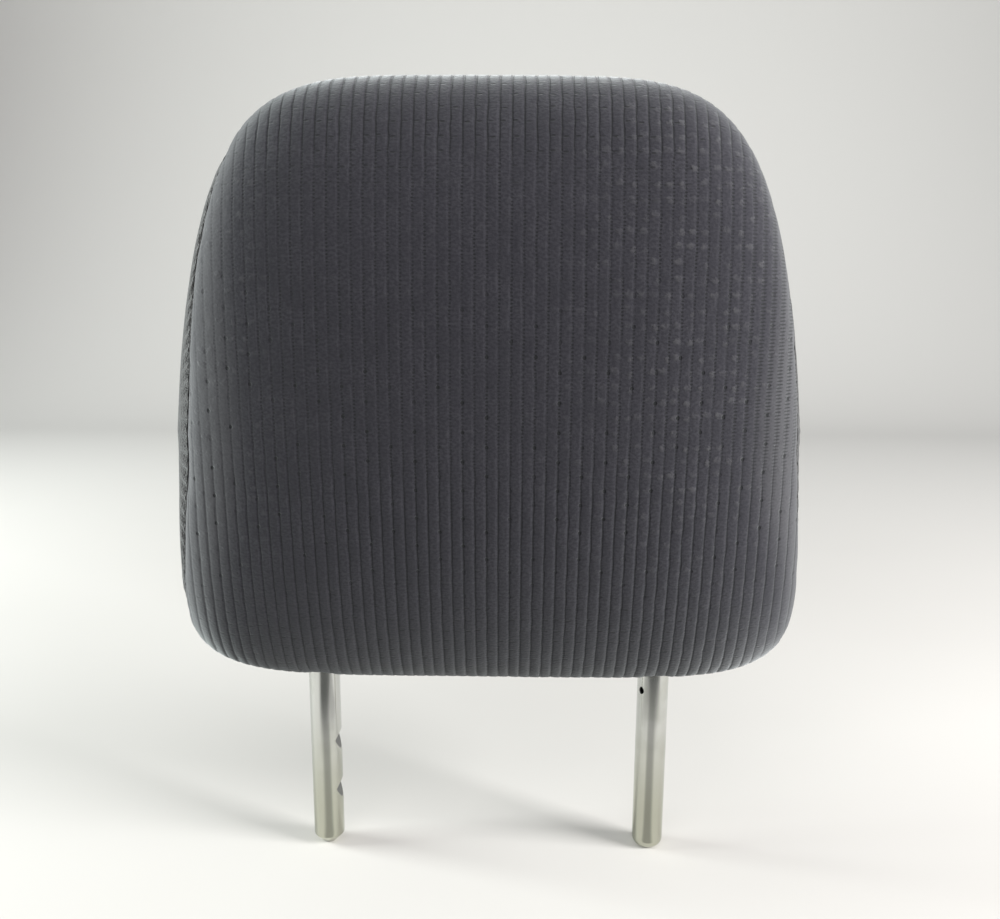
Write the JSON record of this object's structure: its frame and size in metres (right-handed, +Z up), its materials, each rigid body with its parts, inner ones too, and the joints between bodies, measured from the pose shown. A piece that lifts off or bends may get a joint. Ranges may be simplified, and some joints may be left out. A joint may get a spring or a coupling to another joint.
{
  "type": "car headrest",
  "caption": "Car seat headrest: a padded, ribbed knit cushion that narrows upwards, on two straight round steel posts with locking notches.",
  "frame": {"origin": "midway between the two posts' axes, level with the posts' lower tips", "axes": "+Z up along the posts, -Y out of the cushion's front, +X towards the post without notches"},
  "size_m": [0.2685, 0.0924, 0.341],
  "materials": {
    "plated_steel": "bright zinc plating with a faint yellow-green cast and small specks",
    "bare_steel": "drawn wire, uncoated",
    "moulded_foam": "cream moulded polyurethane foam",
    "ribbed_knit": "dark grey ribbed knit with fine cross rows, matt with a light sheen at grazing angles",
    "side_knit": "dark grey ribbed knit, matt",
    "strip_plastic": "black extruded plastic"
  },
  "bodies": {
    "root": {"post_frame": "plated_steel", "support_wire": "bare_steel", "foam_core": "moulded_foam", "cover_centre_panel": "ribbed_knit", "cover_left_side_panel": "side_knit", "cover_right_side_panel": "side_knit", "front_closing_strip": "strip_plastic", "rear_closing_strip": "strip_plastic"}
  },
  "joints": []
}
